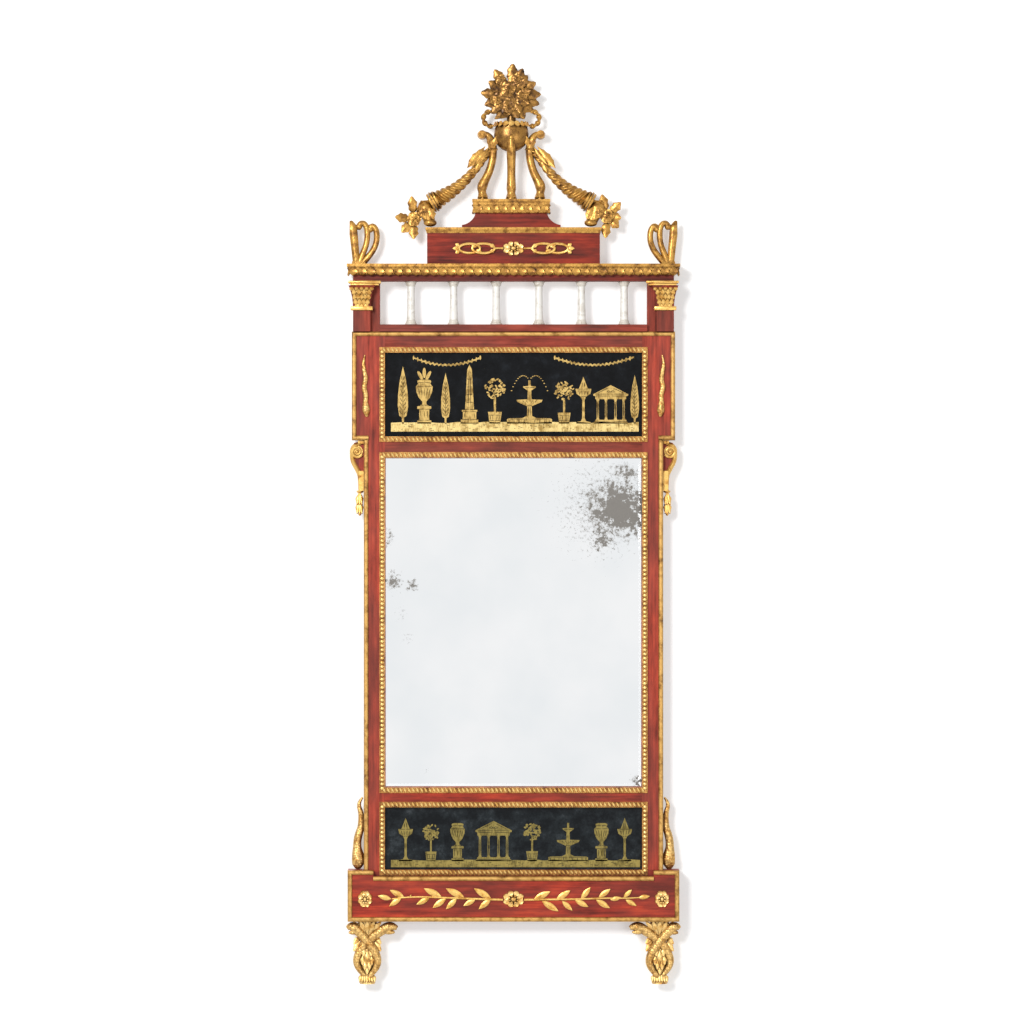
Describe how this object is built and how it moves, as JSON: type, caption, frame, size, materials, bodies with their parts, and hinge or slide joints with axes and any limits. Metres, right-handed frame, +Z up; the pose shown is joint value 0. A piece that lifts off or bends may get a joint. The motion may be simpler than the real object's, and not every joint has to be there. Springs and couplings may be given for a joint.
{
  "type": "wall mirror",
  "caption": "Tall neoclassical wall mirror in a red-painted, parcel-gilt frame with two gold-on-black reverse-painted glass panels, a colonnade, a carved crest and serpent feet.",
  "frame": {"origin": "middle of the mirror plate, on the wall plane that the backboards' rear faces lie in", "axes": "+X to the viewer's right, +Y into the wall, +Z up; the front faces -Y"},
  "size_m": [0.5036, 0.044, 1.3823],
  "materials": {
    "red_paint": "streaky red paint with worn dark patches",
    "gilding": "water gilding on carved limewood, worn to a red-brown ground",
    "alabaster": "turned alabaster, softly polished",
    "silvered_glass": "old silvering with foxing and a faint bevel",
    "painted_glass": "clear glass with gold leaf and black paint behind it",
    "raw_pine": "bare aged pine",
    "wrought_iron": "dark forged iron"
  },
  "bodies": {
    "frame": {"left_stile": "red_paint", "right_stile": "red_paint", "top_rail": "red_paint", "upper_cross_rail": "red_paint", "lower_cross_rail": "red_paint", "base_block": "red_paint", "left_shoulder": "red_paint", "right_shoulder": "red_paint", "gallery_sill": "red_paint", "left_post": "red_paint", "right_post": "red_paint", "entablature": "red_paint", "attic_block": "red_paint", "crest_plinth": "red_paint", "frame_edging": "gilding", "base_edging": "gilding", "upper_panel_beading": "gilding", "mirror_beading": "gilding", "lower_panel_beading": "gilding", "post_capitals": "gilding", "cornice_moulding": "gilding", "attic_moulding": "gilding", "plinth_moulding": "gilding", "side_legs": "gilding", "front_leg": "gilding", "bowl": "gilding", "rope_rings": "gilding", "bouquet": "gilding", "left_cornucopia": "gilding", "right_cornucopia": "gilding", "left_horn_flowers": "gilding", "right_horn_flowers": "gilding", "lyre_finials": "gilding", "attic_rosette": "gilding", "base_rosette": "gilding", "base_end_rosettes": "gilding", "attic_scroll_links": "gilding", "laurel_sprays": "gilding", "shoulder_serpents": "gilding", "side_serpents": "gilding", "scroll_brackets": "gilding", "left_foot": "gilding", "right_foot": "gilding", "column_shafts": "alabaster", "column_bases": "alabaster", "column_caps": "alabaster", "mirror_plate": "silvered_glass", "upper_painted_glass": "painted_glass", "lower_painted_glass": "painted_glass", "glazing_blocks": "raw_pine", "upper_backboard": "raw_pine", "mirror_backboard": "raw_pine", "lower_backboard": "raw_pine", "dowels": "raw_pine", "backboard_nails": "wrought_iron", "hanger_straps": "wrought_iron", "hanger_screws": "wrought_iron"},
    "left_ring": {"left_hanging_ring": "wrought_iron"},
    "right_ring": {"right_hanging_ring": "wrought_iron"}
  },
  "joints": [
    {"name": "left_ring_hinge", "type": "hinge", "parent": "frame", "child": "left_ring", "pos_m": [-0.219, -0.0031, 0.3955], "axis": [-1, 0, 0], "range_deg": [0, 150]},
    {"name": "right_ring_hinge", "type": "hinge", "parent": "frame", "child": "right_ring", "pos_m": [0.219, -0.0031, 0.3955], "axis": [-1, 0, 0], "range_deg": [0, 150]}
  ]
}
